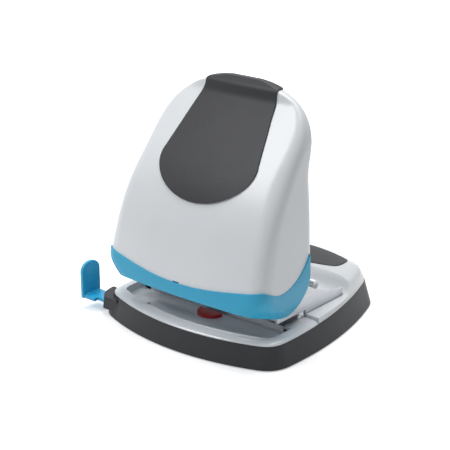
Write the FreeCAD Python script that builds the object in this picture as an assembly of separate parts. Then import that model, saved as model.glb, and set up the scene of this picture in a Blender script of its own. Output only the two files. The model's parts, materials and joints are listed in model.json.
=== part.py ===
import FreeCAD, Part
import math
import os

# Two-hole desk punch with a tall palm lever.
# Frame: +Z up, the front (where the paper goes in) faces -Y, +X to the right.
# Origin: centre of the base outline, on the plane that the rubber feet stand on.
# All lengths are millimetres, all angles are degrees.

V = FreeCAD.Vector

# ---- base outline: four bowed sides between four rounded corners ----
front_corner_x = 69.7
front_corner_y = 62.3
rear_corner_x = 53.2
rear_corner_y = 62.4
front_bow = 15.7
side_bow = 8.2
rear_bow = 13.9
corner_trim = 11.5

# ---- lower housing ----
foot_height = 0.6
wall_height_front = 14.0
wall_height_rear = 16.4
wall_lean = 0.28             # inward lean of the wall per millimetre of height
wall = 2.2
web_top = 10.4
web_thickness = 2.0
gusset_thickness = 2.4
web_fit = 0.03                # between the web's edge and the wall
gusset_radius = 11.0
foot_radius = 7.0
front_foot_x = 58.5
front_foot_y = 55.5
rear_foot_x = 43.0
rear_foot_y = 54.0
centre_post_radius = 8.5      # post over the middle foot, through the tray

# ---- deck cover ----
cover_step = 0.5             # the cover starts this far inside the wall's top edge
rim_crest = 16.4
rim_rise = 5.1               # plan distance from the cover's edge to the crest of the rim
ledge_height = 18.4
deck_height = 26.6
deck_edge_height = 23.4
deck_edge_inset = 7.4
deck_rise_start = 20.0
deck_rise_end = 37.0
opening_rear_y = 15.0         # rear end of the cover's opening between the cheeks
cover_skin = 2.0
dish_floor = 10.4
dish_skin = 1.2
dish_rim_inset = 11.5
dish_floor_inset = 14.5

# ---- steel frame ----
sheet = 2.0
cheek_outer = 56.2
cheek_front_y = -43.5
cheek_rear_y = 22.8
cheek_rear_height = 23.4
cheek_peak_height = 47.0
cheek_fall_y = -25.0          # where its upper edge starts to fall
cheek_front_height = 6.0      # of its front edge above the upper jaw
cheek_rise_length = 12.0
cheek_gap = 0.4
plate_front_y = -35.0
plate_rear_y = 30.0
die_thickness = 3.6
throat = 4.8
stop_y = -16.0
stop_width = 20.0
stop_sheet = 1.4
chute_radius = 4.2

# ---- punches ----
hole_pitch = 80.0
hole_edge_distance = 12.0    # from the paper stop to the centre of the holes
punch_radius = 3.0
guide_fit = 0.05
die_fit = 0.05
bush_wall = 1.8
punch_tip_recess = 0.6       # the tip rests this far above the throat
punch_length = 19.2
head_radius = 8.0
head_thickness = 2.0
collar_radius = 5.6
collar_height = 4.8
spring_radius = 7.0
spring_wire = 0.6
spring_turns = 5
wire_sides = 10

# ---- pivot and lever ----
pivot_y = 6.0
pivot_z = 28.0
pivot_radius = 3.0
pivot_fit = 0.05
hub_radius = 5.6
arm_inner = 27.0
arm_sheet = 2.5
washer_thickness = 0.9
bracket_sheet = 2.0
bracket_foot = 9.0
bracket_half_width = 5.6
bar_half_length = 46.5
side_play = 0.05
clip_thickness = 0.9
clip_radius = 4.6
shaft_half_length = 47.2
press_gap = 0.3
press_bar_depth = 8.0
press_bar_height = 7.0
carrier_sheet = 2.0
carrier_front = 13.0         # forward reach of the carrier plate from the punch line
carrier_rear = 10.5

# ---- handle hood ----
hood_front_y = -71.6
hood_front_depth = 130.0      # half axis of the front's ellipse, along Y
hood_front_level = 26.0       # height where the front is vertical
hood_half_width = 62.5
hood_shoulder_width = 57.0
hood_crown = 154.2
hood_crown_power = 2.3
hood_crown_depth = 7.0
hood_crown_edge = 1.0         # what is left of that depth at the very top
hood_crown_round = 8.0        # height over which the crown rounds off
hood_front_bow = 4.3
hood_taper = 0.07
hood_rear_y = -11.5
hood_rear_lean = 9.0
hood_front_corner = 11.0
hood_rear_corner = 8.0
hood_skin = 2.2
hood_level_shares = (-0.10, 0.06, 0.22, 0.38, 0.53, 0.66, 0.78, 0.87, 0.92)
hood_crown_margins = (5.0, 2.5, 1.0, 0.3)
opening_half_width = 46.0
opening_crown_margin = 12.0
rib_x = 34.0
rib_thickness = 2.4
boss_wall = 2.2
handle_boss_height = 9.0
handle_screw_reach = 7.0

# ---- band round the foot of the hood ----
band_proud = 1.0
band_top_middle = 41.2        # of its upper edge, at the middle of the front
band_top_corner = 48.0        # at the front corners
band_top_side = 42.5          # at the lowest place of the sides
band_side_y = -46.0
band_tip_height = 58.0
band_rear_y = -17.0
band_bottom_front = 33.4
band_bottom_side = 24.8       # at its lowest place
band_low_y = -38.0
band_round_level = 44.0       # below this the band curls inwards
band_tuck_outer = 2.6         # how far its outer side curls in at the lowest place
band_tuck_inner = 0.5
band_corner_growth = 22.0     # how much rounder the corners are there
band_levels = 12
band_notch_width = 5.0
band_notch_height = 0.8

# ---- grip pad ----
pad_proud = 0.8
pad_half_width = 36.7
pad_top_half_width = 27.3

# ---- rear pad and marks ----
rear_pad_half_width = 38.2
rear_pad_rear_y = 63.5
rear_pad_front_y = 34.5
rear_pad_corner = 4.0
rear_pad_bow = 5.8            # how far its front and rear edges bulge
rear_pad_proud = 0.5
rear_pad_depth = 1.0
centre_mark_radius = 9.0
centre_mark_y = -38.0
centre_mark_height = 2.0
position_mark_y = -53.0
position_mark_size = 2.6
position_mark_height = 0.3

# ---- paper guide ----
guide_width = 14.0
guide_thickness = 2.4
guide_y = -59.5
guide_bottom = 6.4
guide_tab_x = -86.0
guide_tab_sheet = 2.2
guide_tab_width = 15.6
guide_tab_top = 32.6
guide_inner_width = 11.0      # of the bar inside the base
guide_shoulder_x = -74.6      # where the bar narrows
guide_inner_x = 20.0
guide_clearance = 0.3
rail_sheet = 1.5
rail_left_x = -55.0
rail_right_x = 38.0
retainer_thickness = 1.4
nub_reach = 3.4              # how far the guide sleeve stands out of the wall
nub_margin = 2.4

# ---- chip tray ----
tray_gap = 0.8
tray_floor = 1.4
tray_rim_height = 3.4
tray_skin = 1.4
tray_bottom = 0.9
tray_hinge_y = 64.5
tray_hinge_z = 3.6
knuckle_radius = 2.4
hinge_pin_radius = 1.0
hinge_pin_fit = 0.1
knuckle_x = 20.0
knuckle_width = 13.0
lug_width = 4.5
knuckle_gap = 0.3
tray_edge_gap = 0.6

# ---- screws ----
screw_radius = 1.5
screw_head_radius = 2.9
screw_head_height = 1.9
frame_screw_x = 36.0
frame_screw_front_y = -8.0
frame_screw_rear_y = 24.0

# ---- values worked out from the ones above ----
hood_height = hood_crown - hood_front_level
hood_front_rise = hood_height * 1.016         # the other half axis of the front's ellipse
hood_slope_start = hood_front_level + hood_height * 0.656
hood_width_level = hood_front_level + hood_height * 0.156
hood_shoulder_level = hood_front_level + hood_height * 0.695
hood_rear_lean_level = hood_front_level + hood_height * 0.539
opening_spring_level = hood_rear_lean_level
opening_crown = hood_crown - opening_crown_margin
rib_top = hood_rear_lean_level
pad_bottom = hood_crown - 65.9
pad_wide_level = hood_crown - 46.2
web_bottom = web_top - web_thickness
plate_top = web_top + sheet
die_top = plate_top + die_thickness
jaw_bottom = die_top + throat
jaw_top = jaw_bottom + sheet
cheek_inner = cheek_outer - sheet
punch_x = hole_pitch / 2
punch_y = stop_y - hole_edge_distance
punch_tip = jaw_bottom + punch_tip_recess
punch_top = punch_tip + punch_length
bar_bottom = punch_top + press_gap
bar_top = bar_bottom + press_bar_height
carrier_top = bar_top + carrier_sheet
arm_outer = arm_inner + arm_sheet
bracket_inner = arm_outer + washer_thickness + 2 * side_play
bracket_outer = bracket_inner + bracket_sheet
guide_top = guide_bottom + guide_thickness
guide_inner_y = guide_y + (guide_width - guide_inner_width) / 2
far = 120.0                  # reaches past the whole part, for cutting blocks


# ---- small helpers ----
def block(x0, x1, y0, y1, z0, z1):
    return Part.makeBox(x1 - x0, y1 - y0, z1 - z0, V(x0, y0, z0))


def rod_x(radius, x0, x1, y, z):
    return Part.makeCylinder(radius, x1 - x0, V(x0, y, z), V(1, 0, 0))


def rod_z(radius, x, y, z0, z1):
    return Part.makeCylinder(radius, z1 - z0, V(x, y, z0), V(0, 0, 1))


def bezier(*poles):
    curve = Part.BezierCurve()
    curve.setPoles(list(poles))
    return curve.toShape()


def line(a, b):
    return Part.LineSegment(a, b).toShape()


def arc(a, middle, b):
    return Part.Arc(a, middle, b).toShape()


def prism(edges, along):
    return Part.Face(Part.Wire(edges)).extrude(along)


def polygon_x(points, x0, x1):
    """Prism along X of a polygon given by its (y, z) corners."""
    corners = [V(x0, y, z) for y, z in points]
    return Part.Face(Part.makePolygon(corners + corners[:1])).extrude(V(x1 - x0, 0, 0))


def mirrored(shape):
    return shape.mirror(V(0, 0, 0), V(1, 0, 0))


def both_sides(shape):
    return Part.makeCompound([shape, mirrored(shape)])


def crossing(p, d, q, e):
    """Point where the line p + t d meets the line q + t e, in plan."""
    share = ((q.x - p.x) * e.y - (q.y - p.y) * e.x) / (d.x * e.y - d.y * e.x)
    return p + d * share


def save(name, shape):
    if len(shape.Solids) == 1:
        shape = shape.Solids[0]
    assert shape.isValid() and shape.Volume > 0, name
    shape.exportStep("parts/" + name + ".step")


# ---- base outline ----
def bowed_side(a, b, bow, inset, z):
    """Arc over the chord a-b, trimmed at both ends and moved inwards by the inset."""
    chord = b - a
    length = chord.Length
    outward = V(chord.y, -chord.x, 0) / length
    along = chord / length
    radius = (length * length / 4 + bow * bow) / (2 * bow)
    centre = (a + b) / 2 - outward * (radius - bow)
    half = math.asin(length / 2 / radius) - corner_trim / radius
    height = V(0, 0, z)

    def at(angle):
        spoke = along * math.sin(angle) + outward * math.cos(angle)
        return centre + spoke * (radius - inset) + height

    def heading(angle):
        return along * math.cos(angle) - outward * math.sin(angle)

    return at(-half), at(0), at(half), heading(-half), heading(half)


def outline(inset, z):
    """Closed wire of the base outline, moved inwards by the inset, at height z."""
    corners = [
        V(-front_corner_x, -front_corner_y, 0),
        V(front_corner_x, -front_corner_y, 0),
        V(rear_corner_x, rear_corner_y, 0),
        V(-rear_corner_x, rear_corner_y, 0),
    ]
    bows = [front_bow, side_bow, rear_bow, side_bow]
    sides = [bowed_side(corners[i], corners[(i + 1) % 4], bows[i], inset, z) for i in range(4)]
    edges = []
    for i in range(4):
        start, middle, end, first, last = sides[i]
        following = sides[(i + 1) % 4]
        edges.append(arc(start, middle, end))
        edges.append(bezier(end, crossing(end, last, following[0], following[3]), following[0]))
    return Part.Wire(edges)


def outline_solid(levels):
    """Solid through the outline at each (inset, height)."""
    return Part.makeLoft([outline(inset, z) for inset, z in levels], True, True)


def wall_top(y):
    share = (y + front_corner_y) / (front_corner_y + rear_corner_y)
    return wall_height_front + (wall_height_rear - wall_height_front) * share


def above_wall():
    corners = [(-far, wall_top(-far)), (far, wall_top(far)), (far, far), (-far, far)]
    return polygon_x(corners, -far, far)


def leaning(inset, z):
    return inset + wall_lean * (z - foot_height), z


# ---- lower housing, feet and screws ----
def foot_places():
    front = [V(side * front_foot_x, -front_foot_y, 0) for side in (-1, 1)]
    rear = [V(side * rear_foot_x, rear_foot_y, 0) for side in (-1, 1)]
    return front + rear


def frame_screw_places():
    rows = (frame_screw_front_y, frame_screw_rear_y)
    return [V(side * frame_screw_x, y, 0) for side in (-1, 1) for y in rows]


def guide_nub():
    """Sleeve that carries the paper guide through the left wall."""
    y0 = guide_inner_y - guide_inner_width / 2 - nub_margin
    y1 = guide_inner_y + guide_inner_width / 2 + nub_margin
    outer = outline_solid([(-nub_reach, guide_bottom - nub_margin), (-nub_reach + 0.9, guide_top + 3.6)])
    return outer.common(block(-far, rail_left_x, y0, y1, 0, far))


def guide_slot(clearance):
    y0 = guide_inner_y - guide_inner_width / 2 - clearance
    y1 = guide_inner_y + guide_inner_width / 2 + clearance
    return block(-far, 0, y0, y1, guide_bottom - clearance, guide_top + clearance)


def chutes(z0, z1):
    return both_sides(rod_z(chute_radius, punch_x, punch_y, z0, z1))


def hinge_lugs():
    lug = block(0, lug_width, tray_hinge_y - knuckle_radius, tray_hinge_y + knuckle_radius,
                tray_hinge_z, web_top)
    eye = rod_x(knuckle_radius, 0, lug_width, tray_hinge_y, tray_hinge_z)
    reach = knuckle_width / 2 + knuckle_gap
    starts = (knuckle_x - reach - lug_width, knuckle_x + reach)
    pair = [lug.fuse(eye).translated(V(x, 0, 0)) for x in starts]
    return both_sides(Part.makeCompound(pair))


def housing_inside(fit=0):
    inset = wall + fit
    return outline_solid([leaning(inset, foot_height), leaning(inset, 20)])


def lower_housing():
    """Wall ring with its foot gussets and the paper guide's sleeve."""
    outer = outline_solid([leaning(0, foot_height), leaning(0, 20)])
    inner = housing_inside()
    shell = outer.cut(inner).cut(above_wall())
    gussets = [rod_z(gusset_radius, p.x, p.y, foot_height, foot_height + gusset_thickness)
               for p in foot_places()]
    corners = inner.common(Part.makeCompound(gussets))
    body = shell.fuse([corners, guide_nub().cut(inner)])
    return body.cut(guide_slot(guide_clearance)).removeSplitter()


def housing_web():
    """Plate across the wall ring: it carries the steel frame, the middle foot and the tray's lugs."""
    web = housing_inside(web_fit).common(block(-far, far, plate_front_y, far, web_bottom, web_top))
    post = rod_z(centre_post_radius, 0, 0, foot_height, web_bottom)
    body = web.fuse([post, hinge_lugs()]).cut(hinge_pins(hinge_pin_radius)).cut(chutes(0, far))
    holes = [rod_z(screw_radius, p.x, p.y, 0, far) for p in frame_screw_places()]
    return body.cut(Part.makeCompound(holes)).removeSplitter()


def rubber_feet():
    places = foot_places() + [V(0, 0, 0)]
    return Part.makeCompound([rod_z(foot_radius, p.x, p.y, 0, foot_height) for p in places])


def screw(x, y, head_bottom, shank_top):
    head = rod_z(screw_head_radius, x, y, head_bottom, head_bottom + screw_head_height)
    return head.fuse(rod_z(screw_radius, x, y, head_bottom, shank_top)).removeSplitter()


def frame_screws():
    bottom = web_bottom - screw_head_height
    return Part.makeCompound([screw(p.x, p.y, bottom, plate_top) for p in frame_screw_places()])


# ---- chip tray ----
def hinge_pins(radius):
    reach = knuckle_width / 2 + knuckle_gap + lug_width
    return both_sides(rod_x(radius, knuckle_x - reach, knuckle_x + reach, tray_hinge_y, tray_hinge_z))


def tray_plan(inset, z0, z1):
    lean = wall_lean * tray_rim_height
    side = wall + tray_gap + lean + inset
    ends_at = tray_hinge_y - knuckle_radius - tray_edge_gap - inset
    return outline_solid([(side, z0), (side, z1)]).common(block(-far, far, -far, ends_at, -1, far))


def chip_tray():
    top = tray_bottom + tray_rim_height
    solid = tray_plan(0, tray_bottom, top)
    hollow = tray_plan(tray_skin, tray_bottom + tray_floor, top + 1)
    corners = [rod_z(gusset_radius + tray_gap, p.x, p.y, 0, top) for p in foot_places()]
    corner_walls = [rod_z(gusset_radius + tray_gap + tray_skin, p.x, p.y, tray_bottom, top)
                    for p in foot_places()]
    corners.append(rod_z(centre_post_radius + tray_gap, 0, 0, 0, top))
    corner_walls.append(rod_z(centre_post_radius + tray_gap + tray_skin, 0, 0, tray_bottom, top))
    tray = solid.cut(hollow).fuse(solid.common(Part.makeCompound(corner_walls)))
    tray = tray.cut(Part.makeCompound(corners))
    half = knuckle_width / 2
    barrel = rod_x(knuckle_radius, knuckle_x - half, knuckle_x + half, tray_hinge_y, tray_hinge_z)
    strap = block(knuckle_x - half, knuckle_x + half, tray_hinge_y - knuckle_radius - tray_skin,
                  tray_hinge_y, tray_bottom, tray_hinge_z)
    strap = strap.cut(block(-far, far, tray_hinge_y, far, -1, far))
    tray = tray.fuse([barrel.fuse(strap), mirrored(barrel.fuse(strap))])
    tray = tray.cut(hinge_pins(hinge_pin_radius + hinge_pin_fit))
    under = block(-far, far, -far, far, -1, tray_bottom)
    return tray.cut(under).removeSplitter()


# ---- deck cover ----
def cover_form(lift):
    """Outer form of the cover; lift offsets the rear deck upwards."""
    edge = wall_lean * (wall_height_front - foot_height) + cover_step
    rim = outline_solid([(edge, plate_top), (edge, wall_height_front + 0.4), (edge + 0.8, rim_crest - 1.1),
                         (edge + 2.6, rim_crest - 0.4), (edge + rim_rise, rim_crest)])
    rim = rim.common(block(-far, far, -far, stop_y, 0, far))
    deck = outline_solid([(edge, plate_top), (edge + 0.8, wall_height_rear + 2),
                          (deck_edge_inset, deck_edge_height + lift),
                          (deck_edge_inset + 2, deck_edge_height + 1.5 + lift),
                          (deck_edge_inset + 7, deck_height - 0.5 + lift),
                          (deck_edge_inset + 15, deck_height + lift)])
    deck = deck.common(below_sweep(lift))
    return rim.fuse(deck)


def below_sweep(lift):
    """Block under the line that rises from the side ledge to the rear deck."""
    ledge = ledge_height + lift
    top = deck_height + 1 + lift
    third = (deck_rise_end - deck_rise_start) / 2.2
    rise = bezier(V(-far, deck_rise_start, ledge), V(-far, deck_rise_start + third, ledge),
                  V(-far, deck_rise_end - third, top), V(-far, deck_rise_end, top))
    edges = [
        line(V(-far, stop_y, 0), V(-far, stop_y, ledge)),
        line(V(-far, stop_y, ledge), V(-far, deck_rise_start, ledge)),
        rise,
        line(V(-far, deck_rise_end, top), V(-far, far, top)),
        line(V(-far, far, top), V(-far, far, 0)),
        line(V(-far, far, 0), V(-far, stop_y, 0)),
    ]
    return prism(edges, V(2 * far, 0, 0))


def dish(skin):
    """Bowl in front of the die plate; skin grows it to its outer side."""
    form = outline_solid([(dish_floor_inset - skin, dish_floor - skin),
                          (dish_floor_inset - 1.8 - skin, dish_floor + 1.2),
                          (dish_rim_inset - skin, rim_crest + 1)])
    return form.common(block(-far, far, -far, plate_front_y, 0, far))


def deck_cover():
    form = cover_form(0)
    edge = wall_lean * (wall_height_rear - foot_height) + cover_step + cover_skin
    hollow = outline_solid([(edge + 1, plate_top - 1), (edge + 1.6, wall_height_rear),
                            (deck_edge_inset + cover_skin, deck_edge_height - 1.5),
                            (deck_edge_inset + 8, deck_height - cover_skin - 0.6),
                            (deck_edge_inset + 15, deck_height - cover_skin)])
    hollow = hollow.common(below_sweep(-cover_skin))
    hollow = hollow.common(block(-far, far, stop_y + cover_skin, far, 0, far))
    shell = form.common(above_wall()).cut(hollow)
    rim_hollow = outline_solid([(edge + 1.4, 0), (edge + 1.4, rim_crest - cover_skin)])
    rim_hollow = rim_hollow.common(block(-far, far, -far, stop_y, 0, far))
    bowl = dish(dish_skin).common(block(-far, far, -far, far, 0, rim_crest - 1))
    shell = shell.cut(rim_hollow).fuse(bowl)
    shell = shell.fuse(guide_rails()).cut(dish(0))
    return shell.cut(frame_opening()).cut(rear_pad()).removeSplitter()


def guide_rails():
    """Two ribs under the cover that the paper guide slides between."""
    half = guide_inner_width / 2 + guide_clearance
    rail = block(rail_left_x, rail_right_x, guide_inner_y - half - rail_sheet, guide_inner_y - half,
                 guide_bottom - guide_clearance, rim_crest - cover_skin + 0.2)
    rear_rail = block(rail_left_x, rail_right_x, guide_inner_y + half, guide_inner_y + half + rail_sheet,
                      guide_bottom - guide_clearance, dish_floor)
    return rail.fuse(rear_rail).common(inside_wall(rim_crest))


def inside_wall(z):
    """Upright block that stays clear of the wall up to height z."""
    inset = wall + wall_lean * z + guide_clearance
    return outline_solid([(inset, 0), (inset, z + 10)])


def frame_opening():
    front = block(-cheek_inner - cheek_gap, cheek_inner + cheek_gap, plate_front_y, stop_y, 0, far)
    middle = block(-cheek_outer - cheek_gap, cheek_outer + cheek_gap, stop_y, opening_rear_y, 0, far)
    slot = block(cheek_inner - cheek_gap, cheek_outer + cheek_gap, stop_y, cheek_rear_y + cheek_gap, 0, far)
    return front.fuse([middle, slot, mirrored(slot)])


def plan_prism(edges, z0, z1):
    return prism(edges, V(0, 0, z1 - z0))


def rear_pad():
    """Soft inlay on the rear deck."""
    z = ledge_height
    wide = rear_pad_half_width
    corner_x = wide - rear_pad_corner
    rear_y = rear_pad_rear_y - rear_pad_bow
    front_y = rear_pad_front_y + rear_pad_bow
    middle_y = rear_pad_front_y + 2 * rear_pad_bow
    right = [V(corner_x, rear_y, z), V(wide, rear_y - 1.5, z), V(wide, middle_y + 4, z), V(wide, middle_y, z)]
    right_front = [V(wide, middle_y, z), V(wide, middle_y - rear_pad_corner, z), V(corner_x, front_y, z)]
    left = [V(-p.x, p.y, z) for p in reversed(right)]
    left_front = [V(-p.x, p.y, z) for p in reversed(right_front)]
    edges = [
        arc(left[-1], V(0, rear_pad_rear_y, z), right[0]),
        bezier(*right),
        bezier(*right_front),
        arc(right_front[-1], V(0, rear_pad_front_y, z), left_front[0]),
        bezier(*left_front),
        bezier(*left),
    ]
    column = plan_prism(edges, z, far)
    layer = cover_form(rear_pad_proud).common(column)
    return layer.cut(cover_form(-rear_pad_depth))


def centre_mark():
    z0 = dish_floor
    disc = rod_z(centre_mark_radius, 0, centre_mark_y, z0, z0 + centre_mark_height)
    return disc.common(block(-far, far, -far, centre_mark_y, 0, far))


def position_marks():
    size = position_mark_size
    z = dish_floor
    corners = [V(punch_x - size, position_mark_y - size, z), V(punch_x + size, position_mark_y - size, z),
               V(punch_x, position_mark_y + size, z)]
    mark = Part.Face(Part.makePolygon(corners + corners[:1])).extrude(V(0, 0, position_mark_height))
    return both_sides(mark)


# ---- steel frame ----
def base_plate():
    plate = block(-cheek_inner, cheek_inner, plate_front_y, plate_rear_y, web_top, plate_top)
    holes = [rod_z(screw_radius, p.x, p.y, 0, far) for p in frame_screw_places()]
    return plate.cut(chutes(0, far)).cut(Part.makeCompound(holes))


def right_cheek():
    """Upright steel side; its edge sweeps from the hood down to the rear deck."""
    x = cheek_inner
    peak = cheek_peak_height
    front_top = V(x, cheek_front_y, jaw_top + cheek_front_height)
    rise_top = V(x, cheek_front_y + cheek_rise_length, peak)
    fall_top = V(x, cheek_fall_y, peak)
    low = V(x, cheek_rear_y - 4, cheek_rear_height)
    rear_top = V(x, cheek_rear_y, cheek_rear_height)
    rear_low = V(x, cheek_rear_y, plate_top)
    stop_low = V(x, stop_y + cheek_gap, plate_top)
    stop_high = V(x, stop_y + cheek_gap, jaw_bottom)
    front_low = V(x, cheek_front_y, jaw_bottom)
    sweep = bezier(fall_top, V(x, cheek_fall_y + 9, peak - 12), V(x, 0, cheek_rear_height + 3), low)
    edges = [line(front_low, front_top), line(front_top, rise_top), line(rise_top, fall_top), sweep,
             line(low, rear_top), line(rear_top, rear_low), line(rear_low, stop_low),
             line(stop_low, stop_high), line(stop_high, front_low)]
    cheek = prism(edges, V(sheet, 0, 0))
    foot = block(cheek_inner, cheek_outer, stop_y + cheek_gap, cheek_rear_y, web_top, plate_top)
    return cheek.fuse(foot).removeSplitter()


def die_plate():
    plate = block(-cheek_inner, cheek_inner, plate_front_y, stop_y + stop_sheet, plate_top, die_top)
    seat = both_sides(rod_z(punch_radius + die_fit + bush_wall, punch_x, punch_y, plate_top, die_top))
    return plate.cut(seat)


def die_bush():
    bush = rod_z(punch_radius + die_fit + bush_wall, punch_x, punch_y, plate_top, die_top)
    return bush.cut(rod_z(punch_radius + die_fit, punch_x, punch_y, 0, far))


def upper_jaw():
    plate = block(-cheek_inner, cheek_inner, cheek_front_y + 2, stop_y + stop_sheet, jaw_bottom, jaw_top)
    collar = both_sides(rod_z(collar_radius, punch_x, punch_y, jaw_top, jaw_top + collar_height))
    bore = both_sides(rod_z(punch_radius + guide_fit, punch_x, punch_y, 0, far))
    return plate.fuse(collar).cut(bore).removeSplitter()


def paper_stop():
    half = stop_width / 2
    return block(punch_x - half, punch_x + half, stop_y, stop_y + stop_sheet, die_top, jaw_bottom)


def pivot_bracket():
    y0 = pivot_y - bracket_half_width
    y1 = pivot_y + bracket_half_width
    plate = block(bracket_inner, bracket_outer, y0, y1, plate_top, pivot_z)
    eye = rod_x(bracket_half_width, bracket_inner, bracket_outer, pivot_y, pivot_z)
    foot = block(bracket_inner - bracket_foot, bracket_inner, y0, y1, plate_top, plate_top + bracket_sheet)
    bore = rod_x(pivot_radius, 0, far, pivot_y, pivot_z)
    return plate.fuse([eye, foot]).cut(bore).removeSplitter()


def pivot_shaft():
    return rod_x(pivot_radius, -shaft_half_length, shaft_half_length, pivot_y, pivot_z)


def pivot_clip():
    x0 = bracket_outer
    ring = rod_x(clip_radius, x0, x0 + clip_thickness, pivot_y, pivot_z)
    return ring.cut(rod_x(pivot_radius, 0, far, pivot_y, pivot_z))


def pivot_washer():
    x0 = arm_outer + side_play
    ring = rod_x(clip_radius, x0, x0 + washer_thickness, pivot_y, pivot_z)
    return ring.cut(rod_x(pivot_radius + pivot_fit, 0, far, pivot_y, pivot_z))


# ---- punches and return springs ----
def punch():
    shank = rod_z(punch_radius, punch_x, punch_y, punch_tip, punch_top)
    head = rod_z(head_radius, punch_x, punch_y, punch_top - head_thickness, punch_top)
    notch = rod_x(punch_radius, 0, far, punch_y, punch_tip - punch_radius * 0.7)
    return shank.fuse(head).cut(notch).removeSplitter()


def return_spring(side):
    bottom = jaw_top + spring_wire
    top = punch_top - head_thickness - spring_wire
    pitch = (top - bottom) / spring_turns
    path = Part.makeHelix(pitch, top - bottom, spring_radius)
    corners = [V(spring_radius + spring_wire * math.cos(turn), 0, spring_wire * math.sin(turn))
               for turn in (2 * math.pi * k / wire_sides for k in range(wire_sides))]
    section = Part.makePolygon(corners + corners[:1])
    coil = Part.Wire(path.Edges).makePipeShell([section], True, True)
    return coil.translated(V(side * punch_x, punch_y, bottom))


# ---- lever ----
def lever_arm():
    """Steel arm from the pivot forward and up to the back of the press bar."""
    x = arm_inner
    bar_rear = punch_y + press_bar_depth / 2
    carrier_edge = punch_y + carrier_rear
    corners = [(pivot_y, pivot_z - hub_radius), (pivot_y + 3, pivot_z + 4), (carrier_edge, bar_top),
               (bar_rear, bar_top), (bar_rear, bar_bottom), (carrier_edge + 1, bar_bottom)]
    arm = polygon_x(corners, x, x + arm_sheet)
    hub = rod_x(hub_radius, x, x + arm_sheet, pivot_y, pivot_z)
    bore = rod_x(pivot_radius + pivot_fit, 0, far, pivot_y, pivot_z)
    return arm.fuse(hub).cut(bore).removeSplitter()


def press_bar():
    """Bar over both punches, round underneath so that it rolls on their heads."""
    radius = press_bar_depth / 2
    top = block(-bar_half_length, bar_half_length, punch_y - radius, punch_y + radius,
                bar_bottom + radius, bar_top)
    under = rod_x(radius, -bar_half_length, bar_half_length, punch_y, bar_bottom + radius)
    under = under.common(block(-far, far, -far, far, 0, bar_top))
    return top.fuse(under).removeSplitter()


def carrier_plate():
    plate = block(-bar_half_length, bar_half_length, punch_y - carrier_front, punch_y + carrier_rear,
                  bar_top, carrier_top)
    holes = [rod_z(screw_radius, p.x, p.y, 0, far) for p in handle_screw_places()]
    return plate.cut(Part.makeCompound(holes))


def handle_screw_places():
    front = punch_y - carrier_front + 4
    rear = punch_y + carrier_rear - screw_head_radius - 0.4
    return [V(side * rib_x, y, 0) for side in (-1, 1) for y in (front, rear)]


def handle_screws():
    bottom = bar_top - screw_head_height
    top = carrier_top + handle_screw_reach
    return Part.makeCompound([screw(p.x, p.y, bottom, top) for p in handle_screw_places()])


# ---- handle hood ----
def hood_front(z):
    """Front of the hood at height z: an ellipse, then its tangent above the slope's start."""
    share = (min(z, hood_slope_start) - hood_front_level) / hood_front_rise
    flat = math.sqrt(1 - share ** 2)
    tangent = hood_front_depth / hood_front_rise * share / flat
    return hood_front_y + hood_front_depth * (1 - flat) + tangent * max(z - hood_slope_start, 0)


def hood_width(z, crown):
    if z <= hood_shoulder_level:
        share = max(z - hood_width_level, 0) / (hood_shoulder_level - hood_width_level)
        return hood_half_width + (hood_shoulder_width - hood_half_width) * share ** 1.5
    share = (z - hood_shoulder_level) / (crown - hood_shoulder_level)
    return hood_shoulder_width * (1 - share ** hood_crown_power) ** (1 / hood_crown_power)


def hood_rear(z):
    share = max(z - hood_rear_lean_level, 0) / (hood_crown - hood_rear_lean_level)
    return hood_rear_y + hood_rear_lean * share ** 2


def crown_depth(z, inset):
    """Least depth of the hood at height z; it shrinks as the crown rounds off."""
    share = max(z - (hood_crown - inset - hood_crown_round), 0) / hood_crown_round
    depth = hood_crown_edge + (hood_crown_depth - hood_crown_edge) * math.sqrt(max(1 - share ** 2, 0))
    return max(depth - 2.45 * inset, hood_crown_edge)


def hood_section(z, inset, corner_growth=0):
    """Closed wire of the hood at height z: bowed front, rounded corners, flat rear."""
    crown = hood_crown - inset
    width = hood_width(z, crown) - inset
    slope = 1 + max(z - hood_front_level, 0) / hood_front_rise * 0.5
    front = hood_front(z) + inset * slope
    rear = hood_rear(z) - inset
    front = min(front, rear - crown_depth(z, inset))
    bow = min(hood_front_bow * (width / hood_half_width) ** 2, (rear - front) / 2)
    side_y = front + bow
    rear_width = width - hood_taper * (rear - side_y)
    front_trim = min(hood_front_corner + corner_growth, (rear - side_y) * 0.55, width * 0.5)
    rear_trim = min(hood_rear_corner, (rear - side_y) * 0.3)
    front_x = width - front_trim
    front_end = V(front_x, front + bow * (front_x / width) ** 2, z)
    side_start = V(width - hood_taper * front_trim, side_y + front_trim, z)
    side_end = V(rear_width + hood_taper * rear_trim, rear - rear_trim, z)
    rear_start = V(rear_width - rear_trim, rear, z)
    front_corner = V(width, side_y, z)
    rear_corner = V(rear_width, rear, z)

    def flip(p):
        return V(-p.x, p.y, p.z)

    return Part.Wire([
        arc(flip(front_end), V(0, front, z), front_end),
        bezier(front_end, front_corner, side_start),
        line(side_start, side_end),
        bezier(side_end, rear_corner, rear_start),
        line(rear_start, flip(rear_start)),
        bezier(flip(rear_start), flip(rear_corner), flip(side_end)),
        line(flip(side_end), flip(side_start)),
        bezier(flip(side_start), flip(front_corner), flip(front_end)),
    ])


def hood_form(inset):
    crown = hood_crown - inset
    levels = [hood_front_level + hood_height * share for share in hood_level_shares]
    levels += [crown - margin for margin in hood_crown_margins]
    return Part.makeLoft([hood_section(z, inset) for z in levels], True, False)


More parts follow.
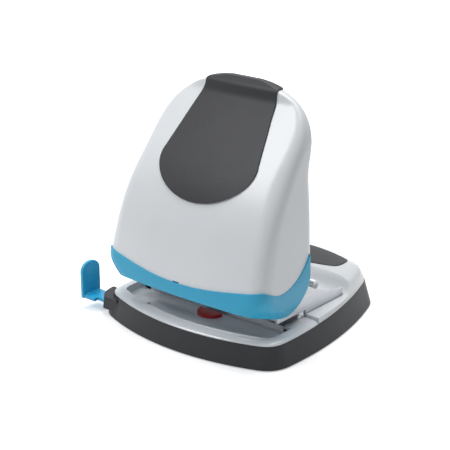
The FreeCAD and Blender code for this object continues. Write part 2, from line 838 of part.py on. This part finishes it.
def under_band_top():
    """Everything below the band's upper edge, which dips along the front and rises to a tip at the rear."""
    x = -far
    side = band_side_y
    tip = V(x, band_rear_y, band_tip_height)
    side_view = prism([
        line(V(x, -far, 0), V(x, -far, band_top_corner)),
        line(V(x, -far, band_top_corner), V(x, side - 18, band_top_corner)),
        bezier(V(x, side - 18, band_top_corner), V(x, side - 12, band_top_corner - 1.4),
               V(x, side - 7, band_top_side), V(x, side, band_top_side)),
        bezier(V(x, side, band_top_side), V(x, side + 12, band_top_side + 0.3),
               V(x, band_rear_y - 8, band_tip_height - 10), tip),
        line(tip, V(x, band_rear_y, 0)),
        line(V(x, band_rear_y, 0), V(x, -far, 0)),
    ], V(2 * far, 0, 0))
    edge = hood_half_width + band_proud + 3
    high = V(edge, -far, band_top_corner + 1)
    low = V(0, -far, band_top_middle)
    half = prism([
        bezier(low, V(edge * 0.4, -far, band_top_middle), V(edge * 0.68, -far, band_top_corner - 1.8), high),
        line(high, V(edge, -far, 0)),
        line(V(edge, -far, 0), V(0, -far, 0)),
        line(V(0, -far, 0), low),
    ], V(0, far + side, 0))
    sides = block(-far, far, side, far, 0, far)
    return side_view.common(half.fuse([mirrored(half), sides]))


def above_band_bottom():
    """Everything above the band's lower edge, which hangs lowest on the sides."""
    x = -far
    low = V(x, band_low_y, band_bottom_side)
    step = V(x, band_low_y - 28, band_bottom_front - 2)
    front = V(x, band_low_y - 38, band_bottom_front)
    return prism([
        line(V(x, band_rear_y, far), V(x, band_rear_y, band_bottom_front + 8)),
        bezier(V(x, band_rear_y, band_bottom_front + 8), V(x, band_rear_y - 3, band_bottom_side + 7),
               V(x, band_low_y + 10, band_bottom_side), low),
        bezier(low, V(x, band_low_y - 10, band_bottom_side),
               V(x, band_low_y - 18, band_bottom_side + 5.4), step),
        bezier(step, V(x, band_low_y - 31, band_bottom_front), front),
        line(front, V(x, -far, band_bottom_front)),
        line(V(x, -far, band_bottom_front), V(x, -far, far)),
        line(V(x, -far, far), V(x, band_rear_y, far)),
    ], V(2 * far, 0, 0))


def band_curl(z):
    """Share of the band's inward curl at height z: none at the ledge, all at its lowest place."""
    share = (band_round_level - z) / (band_round_level - band_bottom_side)
    return min(max(share, 0), 1) ** 1.5


def band_form(inset, tuck):
    """The hood's lower part, curled in by the tuck at its lowest place."""
    bottom = band_bottom_side - 2
    height = band_tip_height + 2 - bottom
    levels = [bottom + height * step / band_levels for step in range(band_levels + 1)]
    sections = []
    for z in levels:
        curl = band_curl(z)
        sections.append(hood_section(z, inset + tuck * curl, band_corner_growth * curl))
    return Part.makeLoft(sections, True, False)


def handle_band():
    ring = band_form(-band_proud, band_tuck_outer).cut(band_form(hood_skin, band_tuck_inner))
    room = cheek_outer + cheek_gap
    ring = ring.cut(block(-room, room, cheek_front_y, far, 0, far))
    return ring.common(under_band_top()).common(above_band_bottom())


def rear_opening():
    """Arched opening in the back of the hood."""
    y = hood_rear_y - 4
    top = opening_spring_level
    crown = opening_crown
    edges = [
        line(V(-opening_half_width, y, 0), V(opening_half_width, y, 0)),
        line(V(opening_half_width, y, 0), V(opening_half_width, y, top)),
        bezier(V(opening_half_width, y, top), V(opening_half_width, y, crown),
               V(-opening_half_width, y, crown), V(-opening_half_width, y, top)),
        line(V(-opening_half_width, y, top), V(-opening_half_width, y, 0)),
    ]
    return prism(edges, V(0, far, 0))


def handle_rib():
    x0 = rib_x - rib_thickness / 2
    return block(x0, x0 + rib_thickness, -far, punch_y + carrier_rear, carrier_top, rib_top)


def handle_cover():
    inner = hood_form(hood_skin)
    below_rear = block(-far, far, band_rear_y, far, 0, band_tip_height)
    half_notch = band_notch_width / 2
    notch = block(-half_notch, half_notch, -far, hood_front_y + hood_front_bow, 0,
                  band_top_middle + band_notch_height)
    shell = hood_form(0).cut(inner).cut(rear_opening())
    shell = shell.cut(under_band_top()).cut(below_rear).cut(notch)
    rib = handle_rib().common(inner)
    top = carrier_top + handle_boss_height
    bosses = [rod_z(screw_radius + boss_wall, p.x, p.y, carrier_top, top) for p in handle_screw_places()]
    shell = shell.fuse([rib, mirrored(rib)] + bosses)
    reach = carrier_top + handle_screw_reach
    holes = [rod_z(screw_radius, p.x, p.y, 0, reach) for p in handle_screw_places()]
    return shell.cut(Part.makeCompound(holes))


def grip_pad():
    """Soft inlay: round below, widest at a third of its height, straight sides up over the crown."""
    y = -far
    top = hood_crown + 10
    wide = pad_half_width
    low = V(0, y, pad_bottom)
    turn = V(wide, y, pad_wide_level)
    start = V(wide - 0.8, y, pad_wide_level + 5)
    end = V(pad_top_half_width, y, hood_crown - 6.5)
    edges = [
        bezier(low, V(wide * 0.55, y, pad_bottom), V(wide - 1.2, y, pad_wide_level - 9), turn),
        bezier(turn, V(wide + 0.3, y, pad_wide_level + 3), start),
        line(start, end),
        line(end, V(pad_top_half_width, y, top)),
        line(V(pad_top_half_width, y, top), V(0, y, top)),
        line(V(0, y, top), low),
    ]
    half = prism(edges, V(0, far, 0))
    outline_prism = half.fuse(mirrored(half)).removeSplitter()
    layer = hood_form(-pad_proud).cut(hood_form(0))
    return layer.common(outline_prism).common(pad_front_zone())


def pad_front_zone():
    """Keeps the pad on the front and the crown, clear of the hood's back."""
    rear = hood_rear_y + hood_rear_lean
    crown = hood_crown
    corners = [(-far, 0), (rear - 33, 0), (rear - 33, crown - 64), (rear - 12, crown - 22),
               (rear - 5, crown - 11), (rear - 2.2, crown - 4.5), (rear - 0.8, crown - 1.5),
               (rear - 0.8, far * 2), (-far, far * 2)]
    return polygon_x(corners, -far, far)


# ---- paper guide ----
def paper_guide():
    y0 = guide_y - guide_width / 2
    outer = block(guide_tab_x, guide_shoulder_x, y0, y0 + guide_width, guide_bottom, guide_top)
    inner_y0 = guide_inner_y - guide_inner_width / 2
    inner = block(guide_tab_x, guide_inner_x, inner_y0, inner_y0 + guide_inner_width, guide_bottom, guide_top)
    bar = outer.fuse(inner)
    half = guide_tab_width / 2
    x = guide_tab_x
    low = guide_bottom
    shoulder = guide_tab_top - 9
    edges = [
        line(V(x, guide_y - half, low), V(x, guide_y + half, low)),
        line(V(x, guide_y + half, low), V(x, guide_y + half, shoulder)),
        bezier(V(x, guide_y + half, shoulder), V(x, guide_y + half, guide_tab_top),
               V(x, guide_y - half, guide_tab_top), V(x, guide_y - half, shoulder)),
        line(V(x, guide_y - half, shoulder), V(x, guide_y - half, low)),
    ]
    tab = prism(edges, V(guide_tab_sheet, 0, 0))
    return bar.fuse(tab).removeSplitter()


def guide_retainer():
    half = guide_inner_width / 2 + guide_clearance + rail_sheet
    y0 = guide_inner_y - half
    y1 = guide_inner_y + half
    top = guide_bottom - guide_clearance
    plate = block(rail_left_x, rail_right_x, y0, y1, top - retainer_thickness, top)
    return plate.common(inside_wall(top))


def main():
    os.makedirs("parts", exist_ok=True)
    save("lower_housing", lower_housing())
    save("housing_web", housing_web())
    save("rubber_feet", rubber_feet())
    save("frame_screws", frame_screws())
    save("chip_tray", chip_tray())
    save("tray_hinge_pins", hinge_pins(hinge_pin_radius))
    save("deck_cover", deck_cover())
    save("rear_pad", rear_pad())
    save("centre_mark", centre_mark())
    save("position_marks", position_marks())
    save("base_plate", base_plate())
    save("cheek_right", right_cheek())
    save("cheek_left", mirrored(right_cheek()))
    save("die_plate", die_plate())
    save("die_bush_right", die_bush())
    save("die_bush_left", mirrored(die_bush()))
    save("upper_jaw", upper_jaw())
    save("paper_stop_right", paper_stop())
    save("paper_stop_left", mirrored(paper_stop()))
    save("pivot_bracket_right", pivot_bracket())
    save("pivot_bracket_left", mirrored(pivot_bracket()))
    save("pivot_shaft", pivot_shaft())
    save("pivot_clips", both_sides(pivot_clip()))
    save("pivot_washers", both_sides(pivot_washer()))
    save("punch_right", punch())
    save("punch_left", mirrored(punch()))
    save("return_spring_right", return_spring(1))
    save("return_spring_left", return_spring(-1))
    save("lever_arm_right", lever_arm())
    save("lever_arm_left", mirrored(lever_arm()))
    save("press_bar", press_bar())
    save("carrier_plate", carrier_plate())
    save("handle_screws", handle_screws())
    save("handle_band", handle_band())
    save("handle_cover", handle_cover())
    save("grip_pad", grip_pad())
    save("paper_guide", paper_guide())
    save("guide_retainer", guide_retainer())


main()
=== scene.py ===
import json
import math

import bmesh
import bpy
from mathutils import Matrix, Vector


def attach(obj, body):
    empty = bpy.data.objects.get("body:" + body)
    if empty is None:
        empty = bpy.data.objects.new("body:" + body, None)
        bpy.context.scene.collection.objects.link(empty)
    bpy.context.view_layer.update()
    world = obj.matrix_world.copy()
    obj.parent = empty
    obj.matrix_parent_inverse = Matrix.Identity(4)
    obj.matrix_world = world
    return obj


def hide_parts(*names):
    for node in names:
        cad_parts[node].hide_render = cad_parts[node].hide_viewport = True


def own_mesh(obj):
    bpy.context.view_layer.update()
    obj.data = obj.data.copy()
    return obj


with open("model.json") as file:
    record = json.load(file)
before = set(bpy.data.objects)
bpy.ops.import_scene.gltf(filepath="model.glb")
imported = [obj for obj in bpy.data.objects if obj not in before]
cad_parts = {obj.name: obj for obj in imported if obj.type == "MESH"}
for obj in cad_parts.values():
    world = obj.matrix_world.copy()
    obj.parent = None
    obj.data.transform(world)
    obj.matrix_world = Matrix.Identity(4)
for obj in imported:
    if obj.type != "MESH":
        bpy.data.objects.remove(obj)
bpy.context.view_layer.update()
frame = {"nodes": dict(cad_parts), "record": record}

MM = 0.001

# How far each moulded or pressed piece's edges are rounded, in millimetres.
EDGE_RADII = {
    "handle_cover": 0.5,
    "handle_band": 0.9,
    "grip_pad": 0.35,
    "deck_cover": 0.5,
    "lower_housing": 0.7,
    "rear_pad": 0.3,
    "paper_guide": 0.5,
    "chip_tray": 0.4,
    "cheek_right": 0.3,
    "cheek_left": 0.3,
    "centre_mark": 0.4,
    "upper_jaw": 0.25,
}
BEVEL_SEGMENTS = 3
BEVEL_ANGLE = 32.0            # degrees between two faces from which their edge is rounded
COIL_SHARP_ANGLE = 60.0       # degrees: only the cut ends of a spring's wire stay sharp
WELD_DISTANCE = 0.004 * MM
FLAT_ANGLE = 0.4              # degrees within which neighbouring faces become one
FINISHES = {"deck_cover": "gloss_white"}      # nodes whose surface differs from their slot's

# The studio, in metres from the middle of the feet's plane.
FLOOR_HALF = 2.5
FLOOR_LEVEL = -0.05 * MM      # just under the feet
FLOOR_COLOUR = (0.93, 0.93, 0.93)
FLOOR_ROUGHNESS = 0.7
FLOOR_LIFT = 0.42             # brightness added to the floor where it is seen near the object
FLOOR_NEAR = 0.25             # from here on the floor fades to white
FLOOR_FAR = 0.70              # and here it is white
WHITE = (1.0, 1.0, 1.0, 1.0)
WORLD_LEVEL = 0.15            # strength of the world's light on the object
LAMP_AIM = (0.0, 0.0, 0.06)
# Each lamp's name, place, size and power in watts.
LAMPS = (
    ("overhead", (-0.15, 0.38, 1.4), (1.0, 1.0), 15.5),
    ("left_key", (-0.95, -1.05, 1.6), (0.8, 0.8), 15.5),
)

CAMERA_PLACE = (0.48436, -0.60026, 0.34107)
CAMERA_AZIMUTH = 40.096       # degrees from the front, towards +X
CAMERA_ELEVATION = 20.164     # degrees above the horizon
CAMERA_LENS = 104.26          # millimetres
CAMERA_SENSOR = 36.0
CAMERA_CLIP = (0.05, 20.0)


# ---- materials ----
def shader_of(material):
    return next(n for n in material.node_tree.nodes if n.type == "BSDF_PRINCIPLED")


def new_material(name, colour, roughness, metallic=0.0, specular=0.5):
    material = bpy.data.materials.new(name)
    material.use_nodes = True
    shader = shader_of(material)
    shader.inputs["Base Color"].default_value = (*colour, 1.0)
    shader.inputs["Roughness"].default_value = roughness
    shader.inputs["Metallic"].default_value = metallic
    shader.inputs["Specular IOR Level"].default_value = specular
    return material


def add_noise(material, scale, detail=3.0, stretch=(1.0, 1.0, 1.0)):
    """Noise in the object's own coordinates, in features per metre."""
    nodes, links = material.node_tree.nodes, material.node_tree.links
    place = nodes.new("ShaderNodeTexCoord")
    mapping = nodes.new("ShaderNodeMapping")
    mapping.inputs["Scale"].default_value = stretch
    noise = nodes.new("ShaderNodeTexNoise")
    noise.inputs["Scale"].default_value = scale
    noise.inputs["Detail"].default_value = detail
    links.new(place.outputs["Object"], mapping.inputs["Vector"])
    links.new(mapping.outputs["Vector"], noise.inputs["Vector"])
    return noise.outputs["Fac"]


def vary_colour(material, height, dark, light):
    """Colour drifts between two shades of the base colour."""
    nodes, links = material.node_tree.nodes, material.node_tree.links
    shader = shader_of(material)
    base = Vector(shader.inputs["Base Color"].default_value[:3])
    ramp = nodes.new("ShaderNodeValToRGB")
    ramp.color_ramp.elements[0].position = 0.3
    ramp.color_ramp.elements[0].color = (*(base * dark), 1.0)
    ramp.color_ramp.elements[1].position = 0.7
    ramp.color_ramp.elements[1].color = (*(base * light), 1.0)
    links.new(height, ramp.inputs["Fac"])
    links.new(ramp.outputs["Color"], shader.inputs["Base Color"])


def vary_roughness(material, height, low, high):
    nodes, links = material.node_tree.nodes, material.node_tree.links
    spread = nodes.new("ShaderNodeMapRange")
    spread.inputs["To Min"].default_value = low
    spread.inputs["To Max"].default_value = high
    links.new(height, spread.inputs["Value"])
    links.new(spread.outputs["Result"], shader_of(material).inputs["Roughness"])


def add_bump(material, height, strength, depth):
    nodes, links = material.node_tree.nodes, material.node_tree.links
    bump = nodes.new("ShaderNodeBump")
    bump.inputs["Strength"].default_value = strength
    bump.inputs["Distance"].default_value = depth
    links.new(height, bump.inputs["Height"])
    links.new(bump.outputs["Normal"], shader_of(material).inputs["Normal"])


def moulded_plastic(name, colour, roughness, grain=2600.0, strength=0.12, specular=0.5):
    """Injection-moulded plastic: fine spark-eroded grain and a slow drift in gloss and shade."""
    material = new_material(name, colour, roughness, specular=specular)
    vary_colour(material, add_noise(material, 14.0), dark=0.975, light=1.02)
    gloss = add_noise(material, 60.0, detail=5.0)
    vary_roughness(material, gloss, roughness - 0.015, roughness + 0.02)
    add_bump(material, add_noise(material, grain, detail=2.0), strength, depth=0.05 * MM)
    return material


def soft_touch(name, colour, roughness, strength):
    """Matt soft-touch inlay with a fine stipple."""
    material = new_material(name, colour, roughness, specular=0.22)
    vary_colour(material, add_noise(material, 1500.0, detail=4.0), dark=0.86, light=1.12)
    gloss = add_noise(material, 40.0, detail=4.0)
    vary_roughness(material, gloss, roughness - 0.06, roughness + 0.05)
    add_bump(material, add_noise(material, 1900.0, detail=3.0), strength, depth=0.12 * MM)
    return material


def sheet_steel(name, colour, roughness):
    """Rolled and lacquered sheet: faint grain along the sheet."""
    material = new_material(name, colour, roughness, metallic=0.85)
    streaks = add_noise(material, 500.0, detail=4.0, stretch=(0.25, 0.08, 2.0))
    vary_colour(material, streaks, dark=0.93, light=1.05)
    gloss = add_noise(material, 90.0, detail=5.0)
    vary_roughness(material, gloss, roughness - 0.06, roughness + 0.08)
    add_bump(material, streaks, strength=0.06, depth=0.03 * MM)
    return material


def ground_steel(name, colour, roughness):
    """Ground bar or drawn wire: faint streaks along the machine's width."""
    material = new_material(name, colour, roughness, metallic=1.0)
    streaks = add_noise(material, 900.0, detail=3.0, stretch=(0.1, 1.0, 1.0))
    vary_colour(material, streaks, dark=0.97, light=1.02)
    gloss = add_noise(material, 120.0, detail=2.0)
    vary_roughness(material, gloss, roughness - 0.02, roughness + 0.02)
    return material


def make_materials():
    """The material of every slot, and of the nodes in FINISHES, by name."""
    plastics = {
        "white_plastic": {"colour": (0.80, 0.83, 0.86), "roughness": 0.28},
        "gloss_white": {"colour": (0.82, 0.85, 0.88), "roughness": 0.09, "grain": 1200.0, "strength": 0.01},
        "blue_plastic": {"colour": (0.025, 0.42, 0.68), "roughness": 0.24, "specular": 0.35},
        "guide_plastic": {"colour": (0.025, 0.42, 0.72), "roughness": 0.3},
        "dark_plastic": {"colour": (0.027, 0.029, 0.033), "roughness": 0.45, "grain": 1500.0,
                         "strength": 0.3, "specular": 0.3},
        "red_plastic": {"colour": (0.62, 0.006, 0.012), "roughness": 0.28},
        "mark_plastic": {"colour": (0.28, 0.29, 0.31), "roughness": 0.45},
    }
    materials = {name: moulded_plastic(name, **look) for name, look in plastics.items()}
    materials["soft_grip"] = soft_touch("soft_grip", (0.040, 0.041, 0.046), 0.42, strength=0.25)
    materials["feet_rubber"] = soft_touch("feet_rubber", (0.02, 0.02, 0.021), 0.8, strength=0.5)
    materials["steel_sheet"] = sheet_steel("steel_sheet", (0.55, 0.57, 0.60), 0.38)
    materials["bright_steel"] = ground_steel("bright_steel", (0.68, 0.69, 0.70), 0.26)
    materials["spring_steel"] = ground_steel("spring_steel", (0.50, 0.51, 0.53), 0.32)
    return materials


# ---- pieces from the frame ----
def slot_of(node):
    return next(s["material_slot"] for s in frame["record"]["subparts"] if s["node"] == node)


def body_name(node):
    return next(b for b, nodes in frame["record"]["behaviour"]["bodies"].items() if node in nodes)


def welded_copy(node):
    """The node's own shape as a new closed mesh, with its faces joined along their edges."""
    source = frame["nodes"][node]
    mesh = source.data.copy()
    mesh.transform(source.matrix_world)
    work = bmesh.new()
    work.from_mesh(mesh)
    bmesh.ops.remove_doubles(work, verts=work.verts, dist=WELD_DISTANCE)
    bmesh.ops.dissolve_limit(work, angle_limit=math.radians(FLAT_ANGLE), verts=work.verts, edges=work.edges)
    bmesh.ops.recalc_face_normals(work, faces=work.faces)
    work.to_mesh(mesh)
    work.free()
    mesh.materials.clear()
    piece = bpy.data.objects.new("shaped_" + node, mesh)
    bpy.context.scene.collection.objects.link(piece)
    return piece


def shade_smooth(piece):
    for face in piece.data.polygons:
        face.use_smooth = True


def soften(piece, radius):
    """Rounds the piece's edges as its mould or press does."""
    bevel = piece.modifiers.new("edge", "BEVEL")
    bevel.width = radius
    bevel.segments = BEVEL_SEGMENTS
    bevel.limit_method = "ANGLE"
    bevel.angle_limit = math.radians(BEVEL_ANGLE)
    bevel.harden_normals = False
    bevel.use_clamp_overlap = True
    shade_smooth(piece)
    weighted = piece.modifiers.new("shading", "WEIGHTED_NORMAL")
    weighted.keep_sharp = False


def stand_in(node, materials):
    """A new piece that stands for the node and moves with it."""
    slot = slot_of(node)
    piece = welded_copy(node)
    piece.data.materials.append(materials[FINISHES.get(node, slot)])
    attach(piece, body_name(node))
    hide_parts(node)
    return piece


def make_spring(side, materials):
    """A return spring: its node's shape with a smooth wire and sharp cut ends, moving with the node's body.
    """
    node = "return_spring_" + side
    piece = stand_in(node, materials)
    shade_smooth(piece)
    piece.data.set_sharp_from_angle(angle=math.radians(COIL_SHARP_ANGLE))
    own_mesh(piece)


def paint(node, materials):
    """Gives a node that is shown as it is its slot's material."""
    for place in frame["nodes"][node].material_slots:
        place.material = materials[slot_of(node)]


# ---- studio ----
def level_where_seen(tree, plain, seen):
    """A level that is plain for the light on the object, and seen where the camera, gloss or glass
    meets it."""
    nodes, links = tree.nodes, tree.links
    path = nodes.new("ShaderNodeLightPath")
    direct = nodes.new("ShaderNodeMath")
    direct.operation = "MAXIMUM"
    links.new(path.outputs["Is Camera Ray"], direct.inputs[0])
    links.new(path.outputs["Is Glossy Ray"], direct.inputs[1])
    through = nodes.new("ShaderNodeMath")
    through.operation = "MAXIMUM"
    links.new(direct.outputs["Value"], through.inputs[0])
    links.new(path.outputs["Is Transmission Ray"], through.inputs[1])
    level = nodes.new("ShaderNodeMapRange")
    level.inputs["To Min"].default_value = plain
    level.inputs["To Max"].default_value = seen
    links.new(through.outputs["Value"], level.inputs["Value"])
    return level.outputs["Result"]


def lift_with_distance(tree):
    """The floor's lift: FLOOR_LIFT near the object, and white from FLOOR_FAR on."""
    nodes, links = tree.nodes, tree.links
    place = nodes.new("ShaderNodeTexCoord")
    reach = nodes.new("ShaderNodeVectorMath")
    reach.operation = "LENGTH"
    links.new(place.outputs["Object"], reach.inputs[0])
    lift = nodes.new("ShaderNodeMapRange")
    lift.inputs["From Min"].default_value = FLOOR_NEAR
    lift.inputs["From Max"].default_value = FLOOR_FAR
    lift.inputs["To Min"].default_value = FLOOR_LIFT
    lift.inputs["To Max"].default_value = 1.0
    links.new(reach.outputs["Value"], lift.inputs["Value"])
    return lift.outputs["Result"]


def backdrop_material():
    """Pale floor that reads as white to the camera and in reflections, and keeps its shadows."""
    material = new_material("studio_floor", FLOOR_COLOUR, FLOOR_ROUGHNESS)
    shader = shader_of(material)
    shader.inputs["Emission Color"].default_value = WHITE
    tree = material.node_tree
    level = tree.nodes.new("ShaderNodeMath")
    level.operation = "MULTIPLY"
    tree.links.new(lift_with_distance(tree), level.inputs[0])
    tree.links.new(level_where_seen(tree, 0.0, 1.0), level.inputs[1])
    tree.links.new(level.outputs["Value"], shader.inputs["Emission Strength"])
    return material


def make_floor():
    round_the_square = ((-1, -1), (1, -1), (1, 1), (-1, 1))
    corners = [(x * FLOOR_HALF, y * FLOOR_HALF, FLOOR_LEVEL) for x, y in round_the_square]
    mesh = bpy.data.meshes.new("floor")
    mesh.from_pydata(corners, [], [(0, 1, 2, 3)])
    floor = bpy.data.objects.new("floor", mesh)
    bpy.context.scene.collection.objects.link(floor)
    mesh.materials.append(backdrop_material())


def soft_light(name, place, size, power):
    data = bpy.data.lights.new(name, "AREA")
    data.shape = "RECTANGLE"
    data.size, data.size_y = size
    data.energy = power
    light = bpy.data.objects.new(name, data)
    bpy.context.scene.collection.objects.link(light)
    light.location = place
    light.rotation_mode = "QUATERNION"
    light.rotation_quaternion = (Vector(LAMP_AIM) - Vector(place)).to_track_quat("-Z", "Y")


def make_lights():
    for lamp in LAMPS:
        soft_light(*lamp)
    world = bpy.data.worlds.new("studio")
    world.use_nodes = True
    tree = world.node_tree
    background = tree.nodes["Background"]
    background.inputs["Color"].default_value = WHITE
    tree.links.new(level_where_seen(tree, WORLD_LEVEL, 1.0), background.inputs["Strength"])
    bpy.context.scene.world = world


def make_camera():
    azimuth, elevation = math.radians(CAMERA_AZIMUTH), math.radians(CAMERA_ELEVATION)
    back = Vector((
        math.sin(azimuth) * math.cos(elevation),
        -math.cos(azimuth) * math.cos(elevation),
        math.sin(elevation),
    ))
    data = bpy.data.cameras.new("camera")
    data.sensor_width = CAMERA_SENSOR
    data.lens = CAMERA_LENS
    data.clip_start, data.clip_end = CAMERA_CLIP
    camera = bpy.data.objects.new("camera", data)
    bpy.context.scene.collection.objects.link(camera)
    camera.location = CAMERA_PLACE
    camera.rotation_mode = "QUATERNION"
    camera.rotation_quaternion = (-back).to_track_quat("-Z", "Y")
    bpy.context.scene.camera = camera


# ---- the machine ----
def build():
    """Softened pieces and springs stand for their nodes, and the other nodes are shown as they are."""
    materials = make_materials()
    for node in frame["nodes"]:
        if node in EDGE_RADII:
            soften(stand_in(node, materials), EDGE_RADII[node] * MM)
        elif not node.startswith("return_spring_"):
            paint(node, materials)
    for side in ("right", "left"):
        make_spring(side, materials)


make_camera()
make_floor()
make_lights()
build()
bpy.context.scene.view_settings.view_transform = "Standard"
